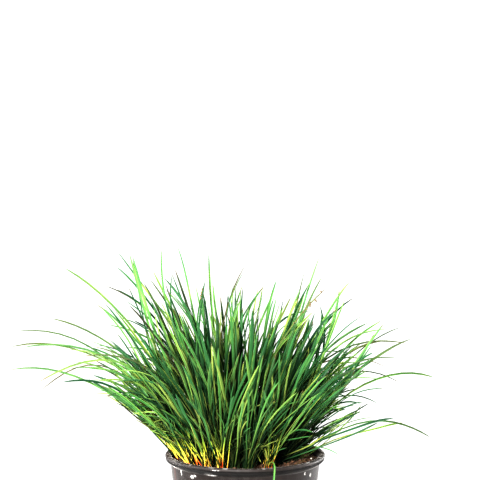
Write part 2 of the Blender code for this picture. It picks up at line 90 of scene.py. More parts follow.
class Paint:
    # One material. node() adds a node: its settings go first, then the values or wires of its inputs.
    def __init__(self, name, **constants):
        self.material = bpy.data.materials.new(name)
        self.material.use_nodes = True
        self.tree = self.material.node_tree
        self.shader = self.tree.nodes["Principled BSDF"]
        for socket, value in constants.items():
            self.shader.inputs[socket.replace("_", " ")].default_value = value

    def node(self, kind, settings, inputs, output=0):
        made = self.tree.nodes.new(kind)
        for name, value in settings.items():
            if name == "stops":
                self.setRamp(made.color_ramp, value)
            else:
                setattr(made, name, value)
        for name, value in inputs.items():
            self.put(made.inputs[name], value)
        return Wire(self, made.outputs[output])

    def setRamp(self, ramp, stops):
        while len(ramp.elements) < len(stops):
            ramp.elements.new(1.0)
        for element, (place, colour) in zip(ramp.elements, stops):
            element.position = place
            element.color = (*colour, 1.0)

    def put(self, socket, value):
        if isinstance(value, Wire):
            self.tree.links.new(value.socket, socket)
        elif isinstance(value, tuple) and len(value) == 3 and socket.type == "RGBA":
            socket.default_value = (*value, 1.0)
        else:
            socket.default_value = value

    def attribute(self, name):
        return self.node("ShaderNodeAttribute", {"attribute_name": name}, {}, output=2)

    def place(self):
        return self.node("ShaderNodeTexCoord", {}, {}, output=3)

    def axes(self, vector):
        first = self.node("ShaderNodeSeparateXYZ", {}, {0: vector})
        return [Wire(self, output) for output in first.socket.node.outputs]

    def vector(self, *values):
        return self.node("ShaderNodeCombineXYZ", {}, dict(enumerate(values)))

    def stretch(self, vector, factors):
        return self.node("ShaderNodeVectorMath", {"operation": "MULTIPLY"}, {0: vector, 1: factors})

    def noise(self, vector, scale, detail=3.0, roughness=0.55):
        inputs = {"Vector": vector, "Scale": scale, "Detail": detail, "Roughness": roughness}
        return self.node("ShaderNodeTexNoise", {}, inputs)

    def ramp(self, value, stops):
        return self.node("ShaderNodeValToRGB", {"stops": stops}, {0: value})

    def mix(self, share, first, second, blend="MIX"):
        settings = {"data_type": "RGBA", "blend_type": blend}
        return self.node("ShaderNodeMix", settings, {0: share, 6: first, 7: second}, output=2)

    def bump(self, height, depth):
        raised = self.node("ShaderNodeBump", {}, {"Height": height, "Distance": depth})
        self.put(self.shader.inputs["Normal"], raised)

    def finish(self, **wires):
        for socket, wire in wires.items():
            self.put(self.shader.inputs[socket.replace("_", " ")], wire)
        return self.material


# Mesh helpers, in millimetres

def addPiece(name, parts, material, replaced=(), sharpDegrees=40, values=None):
    # parts is a list of (points, faces): points (n, 3), faces a list of arrays of corner numbers.
    # values are the numbers that the material reads at the points, by their name.
    allPoints, allFaces, before = [], [], 0
    for points, faces in parts:
        allPoints.append(points)
        for block in faces:
            allFaces += (block + before).tolist()
        before += len(points)
    mesh = bpy.data.meshes.new(name)
    mesh.from_pydata((np.concatenate(allPoints) * mm).tolist(), [], allFaces)
    mesh.materials.append(material)
    for title, numbers in (values or {}).items():
        mesh.attributes.new(title, "FLOAT", "POINT").data.foreach_set("value", numbers.astype(np.float32))
    mesh.shade_smooth()
    mesh.set_sharp_from_angle(angle=math.radians(sharpDegrees))
    piece = bpy.data.objects.new(name, mesh)
    bpy.context.scene.collection.objects.link(piece)
    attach(piece, "root")
    if replaced:
        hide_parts(*replaced)


def gridFaces(rows, columns):
    # quads between neighbouring rows of a grid of points, whose last column is joined to its first
    row = np.arange(rows - 1)[:, None]
    column = np.arange(columns)[None, :]
    beside = (column + 1) % columns
    corners = [row * columns + column, row * columns + beside]
    corners += [corners[1] + columns, corners[0] + columns]
    return np.stack(np.broadcast_arrays(*corners), -1).reshape(-1, 4)


def fanFaces(ring, centre, outward=True):
    # triangles from a ring of points to one point
    following = np.roll(ring, -1)
    pair = (ring, following) if outward else (following, ring)
    return np.stack([*pair, np.full(len(ring), centre)], -1)


def closedGrid(grid, start, end):
    # a grid of closed rings as one shell, with a fan from its first and its last ring to a point on the axis
    rows, columns = grid.shape[:2]
    count = rows * columns
    points = np.concatenate([grid.reshape(-1, 3), [(0, 0, start), (0, 0, end)]])
    first = fanFaces(np.arange(columns), count, outward=False)
    last = fanFaces(np.arange(count - columns, count), count + 1)
    return points, [gridFaces(rows, columns), first, last]


def unit(vectors):
    return vectors / np.maximum(np.linalg.norm(vectors, axis=-1, keepdims=True), 1e-12)


noiseCells = 64  # along each side of the lattice, which repeats


def valueNoise(x, y, size, seed):
    # random heights on a square lattice of the given size, joined by smooth cubic steps between -1 and 1
    lattice = np.random.default_rng(seed).uniform(-1, 1, (noiseCells, noiseCells))
    x, y = x / size, y / size
    column, row = np.floor(x).astype(int), np.floor(y).astype(int)
    u, v = x - column, y - row
    u, v = u * u * (3 - 2 * u), v * v * (3 - 2 * v)
    left, right = column % noiseCells, (column + 1) % noiseCells
    near, far = row % noiseCells, (row + 1) % noiseCells
    nearHeight = lattice[near, left] * (1 - u) + lattice[near, right] * u
    farHeight = lattice[far, left] * (1 - u) + lattice[far, right] * u
    return nearHeight * (1 - v) + farHeight * v


# Camera, light and floor

viewSetup = {
    "place": (-0.0052, -1.7632, 0.5269),
    "downDegrees": 4.61,
    "lens": 130.0,
    "sensor": 36.0,
    "farthest": 60.0,
}
lightSetup = {
    # name: place, size, power in watts
    "key": ((-0.7, -1.1, 2.0), 0.4, 54.0),
    "front": ((-0.6, -1.9, 0.75), 0.3, 104.0),
    "right": ((1.5, -0.1, 1.1), 0.6, 14.0),
    "right edge": ((1.2, 0.7, 0.3), 0.9, 40.0),
    "left edge": ((-1.3, 0.4, 0.35), 0.9, 28.0),
    "back": ((0.3, 1.4, 1.7), 0.9, 26.0),
    "left": ((-1.5, 0.1, 0.8), 0.5, 10.0),
}
studioSetup = {
    "lightTarget": (0.0, 0.0, 0.22),
    "surroundings": 0.03,  # what the white surroundings add from every side
    "floorHalfSize": 6.0,
    "fade": (0.05, 0.3),  # the squares of the distances between which the paper fades
    "paper": ((0.46, 0.46, 0.46), (0.5, 0.5, 0.5)),
}
black = (0.0, 0.0, 0.0)
white = (1.0, 1.0, 1.0)


def addCamera():
    lens = bpy.data.cameras.new("camera")
    lens.lens = viewSetup["lens"]
    lens.sensor_width = viewSetup["sensor"]
    lens.clip_end = viewSetup["farthest"]
    camera = bpy.data.objects.new("camera", lens)
    camera.location = viewSetup["place"]
    camera.rotation_euler = (math.radians(90.0 - viewSetup["downDegrees"]), 0.0, 0.0)
    bpy.context.scene.collection.objects.link(camera)
    bpy.context.scene.camera = camera


def addLight(name, place, size, power):
    # a round lamp that faces the plant's middle
    lamp = bpy.data.lights.new(name, "AREA")
    lamp.shape = "DISK"
    lamp.size = size
    lamp.energy = power
    light = bpy.data.objects.new(name, lamp)
    light.location = place
    offset = np.array(studioSetup["lightTarget"]) - np.array(place)
    tilt = math.atan2(math.hypot(offset[0], offset[1]), -offset[2])
    light.rotation_euler = (tilt, 0.0, math.atan2(offset[1], offset[0]) - math.pi / 2)
    bpy.context.scene.collection.objects.link(light)


def addWorld():
    # the camera sees white, and the pieces get a softer light from all round
    bpy.context.scene.view_settings.view_transform = "Standard"
    bpy.context.scene.view_settings.look = "High Contrast"
    world = bpy.data.worlds.new("studio")
    world.use_nodes = True
    bpy.context.scene.world = world
    nodes, links = world.node_tree.nodes, world.node_tree.links
    surround = nodes["Background"]
    surround.inputs["Color"].default_value = (*white, 1.0)
    surround.inputs["Strength"].default_value = studioSetup["surroundings"]
    seen = nodes.new("ShaderNodeBackground")
    seen.inputs["Color"].default_value = (*white, 1.0)
    ray = nodes.new("ShaderNodeLightPath")
    choose = nodes.new("ShaderNodeMixShader")
    links.new(ray.outputs["Is Camera Ray"], choose.inputs[0])
    links.new(surround.outputs[0], choose.inputs[1])
    links.new(seen.outputs[0], choose.inputs[2])
    links.new(choose.outputs[0], nodes["World Output"].inputs["Surface"])


def addFloor():
    # Paper that fades from lit white round the pot to an even glow of plain white further out, so that the
    # floor and the world behind it are one white
    s = studioSetup
    paper = Paint("white paper", Roughness=0.8, Emission_Strength=1.0, Specular_IOR_Level=0.0)
    x, y = paper.axes(paper.place())[:2]
    far = (x * x + y * y).step(*s["fade"])
    near = paper.mix(paper.noise(paper.place(), 3.0), *s["paper"])
    paper.finish(Base_Color=paper.mix(far, near, black), Emission_Color=paper.mix(far, black, white))
    half = s["floorHalfSize"]
    corners = [(-half, -half, 0), (half, -half, 0), (half, half, 0), (-half, half, 0)]
    mesh = bpy.data.meshes.new("floor")
    mesh.from_pydata(corners, [], [(0, 1, 2, 3)])
    mesh.materials.append(paper.material)
    floor = bpy.data.objects.new("floor", mesh)
    bpy.context.scene.collection.objects.link(floor)


addCamera()
for title, (place, size, power) in lightSetup.items():
    addLight(title, place, size, power)
addWorld()
addFloor()
print("camera, light and floor made")


# Pot

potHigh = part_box("pot")[1]
rimRadius = potHigh.x / mm
potHeight = potHigh.z / mm
potSetup = {
    "wall": 1.6,
    "overhang": 5.5,  # how far the rim stands out from the wall
    "rimDepth": 9.5,
    "slopeDegrees": 6.5,
    "floor": 2.5,
    "footRounding": 2.0,
    "footInsets": (14.0, 8.0, 6.0),  # the flat foot's rings, in from its edge
    "wallRings": 24,
    # the rim's outline from the skirt's foot up and over: in from the rim's radius, and down from its top
    "rim": (
        (5.5, 9.5), (3.6, 8.0), (1.5, 6.5), (0.65, 5.6), (0.65, 4.5), (1.35, 3.95), (1.25, 3.75),
        (0.25, 3.2), (0.0, 2.3), (0.25, 1.1), (1.2, 0.25), (2.4, 0.0), (3.9, 0.12), (5.2, 0.5),
        (6.3, 1.5), (6.9, 2.9),
    ),
    "skirtGap": 1.0,  # between the wall's last ring and the rim's skirt
    "lipDrop": 4.0,  # where the rim's inside begins, below its top
    "waviness": 0.3,  # how far the thin wall strays from a circle
    "waves": ((2, 0.7, 1.0), (5, 2.0, 0.5)),  # how many round the pot, where they start, how strong
    "turns": 144,
    # a rusty streak down the left: angle from the front in degrees, width, and its ends below the rim's top
    "streak": (-69.0, 3.2, (8.0, 70.0)),
    # scuffs on the front: angle from the front in degrees, depth below the rim's top, length, height
    "scuffs": (
        (-27.0, 7.5, 7.0, 2.2), (-24.0, 8.3, 5.0, 1.6), (-44.0, 13.5, 3.2, 2.2), (-41.0, 12.0, 2.4, 1.4),
        (-57.0, 11.0, 1.4, 5.0), (-21.0, 2.4, 6.0, 0.5), (52.0, 12.0, 1.6, 1.8), (60.0, 15.0, 2.2, 2.6),
        (20.0, 15.0, 2.6, 1.0), (-8.0, 14.0, 1.6, 1.0),
    ),
    "bumpDepth": 0.00012,
    "colours": {
        "plastic": (0.008, 0.0048, 0.0036),
        "haze": (0.0168, 0.01008, 0.00756),
        "drawn": (0.05, 0.043, 0.038),  # faint upright lines in the wall
        "dust": (0.85, 0.82, 0.78),
        "rust": (0.045, 0.014, 0.009),
        # painted highlight along the bead's top
        "paleTopHighlight": (0.42, 0.40, 0.38),
        # painted shade in the groove under the bead
        "grooveShade": (0.002, 0.0015, 0.001),
        "soil": (0.012, 0.008, 0.006),
        "sheen": (1.0, 0.91, 0.84, 1.0),
    },
}


def potWall(height):
    # the wall's outer radius at a height: a straight taper below the rim
    under = potHeight - potSetup["rimDepth"] - height
    return rimRadius - potSetup["overhang"] - under * math.tan(math.radians(potSetup["slopeDegrees"]))


def rounded(outline, times):
    # corner cutting: every stretch keeps its quarter and three-quarter points, and the two ends stay
    for turn in range(times):
        start, end = outline[:-1], outline[1:]
        cut = np.stack([0.75 * start + 0.25 * end, 0.25 * start + 0.75 * end], 1).reshape(-1, 2)
        outline = np.concatenate([outline[:1], cut[1:-1], outline[-1:]])
    return outline


def turnedGrid(outline, turns):
    # each (radius, height) point of the outline carried round Z in equal turns
    angle = np.arange(turns) * math.tau / turns
    radius, height = outline[:, :1], outline[:, 1:]
    return np.stack([radius * np.cos(angle), radius * np.sin(angle), height + 0 * angle], -1)


def potOutline():
    # (radius, height) from the foot up the outside, over the rim and down the inside to the floor, with its
    # corners cut twice beyond the foot's inner rings
    s = potSetup
    rise, skirt, edge = s["footRounding"], s["rimDepth"], potWall(0)
    flat = [(edge - inset, 0.0) for inset in s["footInsets"]]
    foot = [flat[-1], (edge - rise, 0.0), (potWall(rise) - 0.25 * rise, 0.25 * rise), (potWall(rise), rise)]
    levels = np.linspace(rise, potHeight - skirt - s["skirtGap"], s["wallRings"])
    wall = [(potWall(level), level) for level in levels[1:]]
    rim = [(rimRadius - inward, potHeight - down) for inward, down in s["rim"]]
    inner = rimRadius - s["overhang"] - s["wall"]
    base = potWall(s["floor"]) - s["wall"]
    inside = [(inner, potHeight - s["lipDrop"]), (inner, potHeight - skirt)]
    inside += [(base, s["floor"]), (base - 2 * rise, s["floor"])]
    return np.concatenate([flat[:-1], rounded(np.array(foot + wall + rim + inside), 2)])


def makePot():
    # The outline is turned round Z. Each ring is then drawn in by waviness * (1 - waves), in proportion to its
    # height, where waves is the mean of a few sines of the angle round the pot.
    s = potSetup
    grid = turnedGrid(potOutline(), s["turns"])
    around = np.arctan2(grid[..., 1], grid[..., 0])
    waves = sum(strength * np.sin(count * around + start) for count, start, strength in s["waves"])
    stray = s["waviness"] * waves / sum(strength for count, start, strength in s["waves"])
    stray = (stray - s["waviness"]) * np.clip(grid[..., 2] / potHeight, 0, 1)
    grid[..., :2] *= 1 + (stray / rimRadius)[..., None]
    shell = closedGrid(grid, 0.0, s["floor"])
    addPiece("nursery_pot", [shell], potPlastic(), replaced=["pot"], sharpDegrees=50)


def scuffMarks(around, down):
    # the sum of soft ovals, one for each scuff, where (aside / length)^2 + (below / height)^2 is under 1.1
    marks = 0.0
    for degrees, below, long, high in potSetup["scuffs"]:
        aside = (around - math.radians(degrees)) * (rimRadius / long)
        above = (down - below) * (1.0 / high)
        marks = (aside * aside + above * above).step(1.1, 0.1) + marks
    return marks


def rustStreak(around, down):
    # a line of the streak's width, soft at its sides, that fades in at its upper end and out above its lower
    degrees, wide, (upper, lower) = potSetup["streak"]
    offLine = (around - math.radians(degrees)).distance(0.0) * (rimRadius / wide)
    return offLine.step(1.0, 0.5) * down.step(upper, upper + 2.0) * down.step(lower, lower - 20.0)


def potPlastic():
    # satin moulded plastic: dark, with dull haze, faint upright lines, pale scuffs and specks of soil; a
    # broken pale line of painted highlight runs along the bead's top, and painted shade darkens the groove
    # under it
    c = potSetup["colours"]
    paint = Paint("moulded nursery pot plastic", Metallic=0.0, Specular_IOR_Level=0.4, Sheen_Weight=0.36,
                  Sheen_Roughness=0.18, Sheen_Tint=c["sheen"])
    place = paint.place()
    x, y, z = paint.axes(place)
    around = paint.node("ShaderNodeMath", {"operation": "ARCTAN2"}, {0: x, 1: y * -1.0})
    down = potHeight - z * (1.0 / mm)  # in millimetres below the rim's top
    grain = paint.noise(place, 2600.0, 2.0)
    haze = paint.noise(place, 38.0, 4.0)
    drawn = paint.noise(paint.stretch(place, (1.0, 1.0, 0.12)), 240.0, 3.0)
    broken = paint.noise(place, 900.0, 4.0, 0.7).step(0.44, 0.52)
    patchy = paint.noise(place, 120.0, 5.0, 0.75).step(0.66, 0.78)
    scuffed = ((scuffMarks(around, down) + patchy * 0.5) * broken).atMost(1.0)
    soilSpeck = paint.noise(place, 330.0, 1.0, 0.4).step(0.69, 0.73)
    # painted highlight: a pale line along the bead's top, broken by noise
    paleTopHighlight = down.step(1.1, 0.1) * paint.noise(place, 75.0, 4.0, 0.7).step(0.55, 0.68)
    # painted shade: the groove under the bead and the bead's underside are darkened to near black
    grooveShade = down.distance(5.6).step(3.0, 2.0)
    bead = down.step(4.6, 3.8) * paint.noise(place, 60.0, 5.0, 0.7).step(0.74, 0.64)
    colour = paint.mix(haze.step(0.35, 0.75), c["plastic"], c["haze"])
    colour = paint.mix(drawn.step(0.45, 0.8) * 0.3, colour, c["drawn"])
    colour = paint.mix(scuffed * 0.85, colour, c["dust"])
    colour = paint.mix(rustStreak(around, down) * 0.85, colour, c["rust"])
    colour = paint.mix(paleTopHighlight * 0.6, colour, c["paleTopHighlight"])
    colour = paint.mix(grooveShade * 0.9, colour, c["grooveShade"])
    colour = paint.mix(soilSpeck * 0.8, colour, c["soil"])
    rough = (0.22 + haze * 0.2 + scuffed * 0.3 + grooveShade * 0.6 + bead * 0.3).atMost(0.95)
    paint.bump(grain * 0.5 + drawn * 0.6 + scuffed * 0.8, potSetup["bumpDepth"])
    return paint.finish(Base_Color=colour, Roughness=rough)


makePot()
print("pot made")


# Potting mix, with chips and crumbs of bark on it

mixLow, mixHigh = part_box("potting_mix")
mixRadius = mixHigh.x / mm
mixSetup = {
    "atWall": 7.0,  # below the rim's top
    "inMiddle": 4.5,
    "lumps": 0.85,
    "lumpSizes": ((9.0, 1.0), (3.6, 0.6), (1.7, 0.35)),  # how wide, and their share of the height
    "sunk": 0.4,  # how far the lumps are let down, of their height
    "rings": 64,
    "ringPower": 0.8,
    "turns": 200,
    "wallGap": 0.4,
    "footBand": 4.0,
    "bumpDepth": 0.0004,
    "bark": [
        (0.36, (0.014, 0.009, 0.006)), (0.52, (0.0585, 0.0279, 0.0126)), (0.64, (0.13, 0.062, 0.028)),
        (0.76, (0.24, 0.105, 0.04)),
    ],
    "fibre": (0.312, 0.1488, 0.0672),
}
# what lies on the mix: how many, how far from the wall, length, how much of its thickness it is raised by,
# how uneven it is, and the power that squares it off
chipSetup = {
    "count": 230,
    "margin": 5.5,
    "length": (3.5, 11.0),
    "width": (0.3, 0.6),  # of the length
    "thickness": (0.12, 0.3),
    "tilt": 0.25,
    "lift": 0.5,
    "jitter": 0.22,
    "squareness": 0.6,
    "paler": 1.5,  # than the mix
}
crumbSetup = {
    "count": 620,
    "margin": 2.5,
    "length": (1.1, 3.0),
    "sides": (0.6, 1.1),  # of the length
    "lift": 0.3,
    "jitter": 0.3,
    "squareness": 0.8,
}
gritSetup = {
    "count": 16,
    "margin": 4.0,
    "length": (1.6, 3.2),
    "sides": (0.7, 1.0),
    "lift": 0.6,
    "jitter": 0.25,
    "squareness": 0.8,
    "colours": [(0.35, (0.3, 0.26, 0.2)), (0.6, (0.72, 0.68, 0.6))],
}


def mixLevel(x, y):
    # a low mound, highest in the middle, roughened by noise at three scales
    s = mixSetup
    share = np.clip(np.hypot(x, y) / mixRadius, 0, 1) ** 2
    lumps = sum(part * valueNoise(x, y, size, seed) for seed, (size, part) in enumerate(s["lumpSizes"], 1))
    fall = (s["atWall"] - s["inMiddle"]) * share
    return potHeight - s["inMiddle"] - fall + s["lumps"] * (lumps - s["sunk"])


def makeMix():
    # rings inside the pot's wall at the bottom, then rings at radius * share^power at the mound's level
    s = mixSetup
    bottom = mixLow.z / mm
    inset = potSetup["wall"] + s["wallGap"]
    levels = (bottom, bottom + s["footBand"])
    side = turnedGrid(np.array([(potWall(level) - inset, level) for level in levels]), s["turns"])
    share = np.linspace(1, 0, s["rings"] + 1)[:-1, None]
    radius = mixRadius * share ** s["ringPower"]
    top = turnedGrid(np.concatenate([radius, 0 * radius], 1), s["turns"])
    top[..., 2] = mixLevel(top[..., 0], top[..., 1])
    middle = float(mixLevel(np.array(0.0), np.array(0.0)))
    shell = closedGrid(np.concatenate([side, top]), bottom, middle)
    addPiece("potting_mix_surface", [shell], barkMix("bark and compost"),
             replaced=["potting_mix"], sharpDegrees=75)


def barkMix(name, paler=1.0):
    # damp dark compost with brown and orange bark fibres
    paint = Paint(name, Metallic=0.0)
    place = paint.place()
    patch = paint.noise(place, 190.0, 4.0, 0.65)
    grain = paint.noise(place, 1500.0, 3.0, 0.7)
    fibre = paint.noise(paint.stretch(place, (1.0, 0.25, 1.0)), 1100.0, 3.0)
    colour = paint.ramp(patch * 0.7 + grain * 0.3, mixSetup["bark"])
    colour = paint.mix(fibre.step(0.58, 0.72) * 0.5, colour, mixSetup["fibre"])
    colour = paint.mix(1.0, colour, (paler, paler, paler), "MULTIPLY")
    paint.bump(grain * 0.7 + fibre * 0.5, mixSetup["bumpDepth"])
    return paint.finish(Base_Color=colour, Roughness=0.62 + grain * 0.35)


def paleGrit():
    # speckled stone
    paint = Paint("pale grit", Metallic=0.0)
    spots = paint.noise(paint.place(), 1800.0, 3.0)
    paint.bump(spots, 0.5 * mixSetup["bumpDepth"])
    return paint.finish(Base_Color=paint.ramp(spots, gritSetup["colours"]), Roughness=0.7 + spots * 0.2)


def lumpBatch(places, sizes, turns, jitter, squareness):
    # For each lump, an egg of rings of points whose sines are raised to a power, which squares it off;
    # every point is pushed in or out at random, and the lump is turned by three random angles.
    rings, sides = 4, 7
    last, perLump = rings * sides, rings * sides + 2
    count = len(places)
    down = np.linspace(0, math.pi, rings + 2)[1:-1]
    angle = np.arange(sides) * math.tau / sides

    def squared(wave):
        return np.sign(wave) * np.abs(wave) ** squareness

    egg = np.stack([
        np.outer(squared(np.sin(down)), squared(np.cos(angle))),
        np.outer(squared(np.sin(down)), squared(np.sin(angle))),
        np.outer(squared(np.cos(down)), np.ones(sides)),
    ], -1).reshape(-1, 3)
    egg = np.concatenate([egg, [(0, 0, 1), (0, 0, -1)]])
    lumps = egg[None] * (1 + draw.uniform(-jitter, jitter, (count, perLump, 1))) * sizes[:, None]
    cosine, sine = np.cos(turns), np.sin(turns)
    for axis, (a, b) in enumerate(((1, 2), (2, 0), (0, 1))):
        c, d = cosine[:, axis, None], sine[:, axis, None]
        first, second = lumps[..., a].copy(), lumps[..., b].copy()
        lumps[..., a] = c * first - d * second
        lumps[..., b] = d * first + c * second
    points = (lumps + places[:, None]).reshape(-1, 3)
    step = np.arange(count)[:, None, None] * perLump
    walls = gridFaces(rings, sides)[:, ::-1]
    top = fanFaces(np.arange(sides), last)
    bottom = fanFaces(np.arange(last - sides, last), last + 1, outward=False)
    caps = np.concatenate([top, bottom])
    return points, [(walls[None] + step).reshape(-1, 4), (caps[None] + step).reshape(-1, 3)]


def onTheMix(count, margin):
    # random places on the mix, even over its area
    out = (mixRadius - margin) * np.sqrt(draw.uniform(0, 1, count))
    angle = draw.uniform(0, math.tau, count)
    x, y = out * np.cos(angle), out * np.sin(angle)
    return np.stack([x, y, mixLevel(x, y)], -1)


def barkChips():
    # long flat lumps that lie nearly level
    s = chipSetup
    count = s["count"]
    places = onTheMix(count, s["margin"])
    long = draw.uniform(*s["length"], count) / 2
    wide = long * draw.uniform(*s["width"], count)
    thick = long * draw.uniform(*s["thickness"], count)
    places[:, 2] += s["lift"] * thick
    tilts = [draw.normal(0, s["tilt"], count), draw.normal(0, s["tilt"], count)]
    turns = np.stack([*tilts, draw.uniform(0, math.tau, count)], -1)
    return lumpBatch(places, np.stack([long, wide, thick], -1), turns, s["jitter"], s["squareness"])


def crumbs(s):
    # small lumps that lie any way up
    count = s["count"]
    places = onTheMix(count, s["margin"])
    sizes = draw.uniform(*s["length"], (count, 1)) / 2 * draw.uniform(*s["sides"], (count, 3))
    places[:, 2] += s["lift"] * sizes[:, 2]
    turns = draw.uniform(0, math.tau, (count, 3))
    return lumpBatch(places, sizes, turns, s["jitter"], s["squareness"])


def makeBark():
    chipBark = barkMix("bark chips", chipSetup["paler"])
    addPiece("bark_chips", [barkChips()], chipBark, sharpDegrees=30)
    addPiece("bark_crumbs", [crumbs(crumbSetup)], barkMix("bark crumbs"), sharpDegrees=30)
    addPiece("pale_grit", [crumbs(gritSetup)], paleGrit(), sharpDegrees=30)


makeMix()
makeBark()
print("potting mix made")


# Blades: what the frame's shoots say, and finer ones between them

bladeSetup = {
    # a blade of the frame has its rings at these shares of its length, by how many it has
    "rings": {2: (0.32, 0.7), 3: (0.25, 0.53, 0.8), 4: (0.2, 0.42, 0.64, 0.84)},
    "segments": 12,
    "fineSegments": 9,
    "segmentPower": 1.35,  # above 1, the segments get shorter towards the tip
    # finer blades between a shoot's own: how many, how long for them, how shaded, how wavy
    "between": (13, (0.45, 1.0), 0.85, 1.4),
    # short blades round the crown, wholly in painted shade: a dark mass low in the clump
    "core": (15, (0.25, 0.6), 1.0, 0.5),
    "besideLengths": (0.72, 1.0),
    # how far their elbows and tips stray: the tips' is multiplied by a number less their share of the length
    "besideStray": (3.0, 16.0, 1.2),
    "betweenStray": (2.5, 14.0, 1.1),
    "fineWidth": (1.2, 2.3),
    "leanLoss": 0.32,  # how much of its length a finer blade loses when it lies level
    # the frame's blades are drawn thinner, by their width there
    "frameWidths": (2.6, 3.0, 3.6, 4.6),
    "drawnWidths": (2.0, 2.2, 2.6, 3.3),
    # and are a deeper green where they are broad
    "hueWidths": (2.4, 3.2),
    "hueShares": (1.0, 0.45),
    "foldShare": 0.34,  # depth of the V, of the width
    "foldChance": (0.7, 1.3),
    "thickness": 0.34,
    "taper": (9.0, 22.0),  # the higher, the later a blade narrows to its tip
    "twist": 0.4,
    "sideTurn": (0.8, 1.5),  # how far a blade that leans straight to one side is turned about its spine
    "turnChance": 0.2,
    "waves": 7.0,  # the wave's angle from foot to tip
    "sway": 5.0,
    "swayChance": (0.4, 1.6),
    "palestHue": 0.8,
    "footWidth": 0.4,  # of the width, where a blade leaves its crown
    "footLength": 110.0,
    "footSpread": 7.0,
    "rootDepth": 1.0,
    "footShare": 0.65,  # how far out from the crown's middle a blade is rooted, of its way up there
    "outlineStart": 66.0,  # finer blades end above a cone that starts here and rises outwards
    "outlineSlope": 0.8,
    "lowestTip": 22.0,  # above the rim
    "sheaths": 5,
    "sheathLength": (12.0, 36.0),
    "sheathWidth": (3.0, 5.0),
    "sheathOut": 2.6,
    "sheathStray": 12.0,
    "sheathRise": 2.0,
    "sheathFold": 0.42,
    # the clump's outside, for the shade in it: a cone round its centre, to a height above the rim
    "clumpCentre": (-8.0, 2.0),
    "clumpRadius": 60.0,
    "clumpSlope": 0.75,
    "clumpHeight": 170.0,
    "depthAtAxis": 1.3,
    # how yellow and red the shoots' feet are: these, and the rest within the range
    "brightFeet": {
        "01": 0.8, "02": 0.6, "03": 0.8, "47": 1.0, "04": 1.0, "05": 0.9, "31": 0.3, "06": 0.35, "07": 0.35,
        "48": 0.3, "37": 0.4, "08": 0.8,
    },
    "otherFeet": (0.0, 0.35),
    "tipReach": 8.0,  # how far from a tint's place a tip may be
    "bumpDepth": 0.00018,
    "colours": {
        "green": [
            (0.04, (0.006, 0.036, 0.013)), (0.26, (0.020, 0.096, 0.031)), (0.48, (0.064, 0.185, 0.042)),
            (0.66, (0.16, 0.27, 0.056)), (0.84, (0.28, 0.35, 0.075)), (1.0, (0.48, 0.49, 0.11)),
        ],
        "keel": (0.10, 0.26, 0.09),
        "dry": [(0.3, (0.015, 0.010, 0.006)), (0.5, (0.045, 0.032, 0.014)), (0.75, (0.20, 0.15, 0.055))],
        "foot": [
            (0.0, (0.50, 0.03, 0.015)), (0.17, (0.80, 0.12, 0.02)), (0.27, (0.95, 0.48, 0.07)),
            (0.38, (0.96, 0.78, 0.12)), (0.80, (0.55, 0.66, 0.04)),
        ],
        # the colour of the painted shade
        "shaded": (0.003, 0.010, 0.003),
    },
}
tipTints = {
    # hue from dark green to lime, dryness, and the tips that have them: right of the axis, above the rim
    "brown": (0.35, 0.85, (
        (1, 194), (83, 176), (-148, 167), (-118, 157), (-219, 51), (102, 163), (94, 170), (157, 72),
        (-134, 64),
    )),
    "dark": (0.05, 0.35, ((-162, 110), (174, 105), (169, 57), (-73, 190), (-75, 155))),
    "olive": (0.6, 0.35, (
        (-244, 84), (-146, 123), (-188, 189), (-224, 114), (-206, 85), (126, 135), (48, 159), (199, 72),
    )),
    "grey": (0.55, 0.45, (
        (-205, 133), (-238, 122), (-251, 101), (153, 106), (117, 152), (192, 15), (-77, 183), (-102, 173),
        (144, 40), (82, 175), (63, 184), (168, 119),
    )),
    "yellow": (1.0, 0.0, ((26, 19), (28, 21))),
    "lime": (0.58, 0.0, (
        (-114, 204), (-87, 210), (-71, 215), (-39, 184), (-37, 208), (-149, 152), (-131, 137), (-2, 171),
        (32, 180), (34, 155), (97, 169), (110, 173), (142, 135), (77, 202), (41, 154), (-33, 175),
        (-105, 155), (-141, 93), (62, 166), (146, 130), (136, 30), (28, -26),
    )),
    "deep green": (0.12, 0.0, (
        (-82, 183), (-136, 116), (-187, 76), (-158, 76), (150, 43), (137, 38), (94, 153), (78, 149),
        (118, 149), (-59, 158), (9, 148), (74, 131), (108, 88), (-85, 165), (168, 85),
    )),
}


def frameBlades(node):
    # A blade ends in a point with three neighbours. From each ring of three points the next one down is
    # the three points that it touches, as far as the crown, where more than three meet.
    mesh = bmesh.new()
    mesh.from_mesh(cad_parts[node].data)
    bmesh.ops.remove_doubles(mesh, verts=mesh.verts, dist=0.01 * mm)
    found = []
    for point in mesh.verts:
        ring = {edge.other_vert(point) for edge in point.link_edges}
        rings, seen = [], {point}
        while len(ring) == 3:
            rings.append(list(ring))
            seen |= ring
            ring = {edge.other_vert(corner) for corner in rings[-1] for edge in corner.link_edges} - seen
        if len(rings) > 2:
            found.append((point, rings))
    heart = Counter(corner for point, rings in found for corner in rings[-1]).most_common(1)[0][0]
    blades = [bladeFrom(point, rings, np.array(heart.co) / mm) for point, rings in found]
    mesh.free()
    return blades


def bladeFrom(point, rings, heart):
    # The spine is the quadratic curve from the crown's middle to the tip, and each ring's middle gives its
    # elbow: (ring - (1-t)^2 base - t^2 tip) / 2t(1-t). The width is the ring's longest side.
    tip = np.array(point.co) / mm
    corners = np.array([[corner.co for corner in ring] for ring in rings]) / mm
    places = bladeSetup["rings"][len(rings) - 1]
    middles = corners[:-1].mean(1)[::-1]
    t = np.array(places)[:, None]
    elbow = ((middles - (1 - t) ** 2 * heart - t ** 2 * tip) / (2 * t * (1 - t))).mean(0)
    first = corners[-2]
    width = np.linalg.norm(np.roll(first, 1, 0) - np.roll(first, -1, 0), axis=1).max()
    return {"heart": heart, "foot": corners[-1].mean(0), "elbow": elbow, "tip": tip, "width": width}


def gather(blades):
    return {key: np.array([blade[key] for blade in blades]) for key in blades[0]}


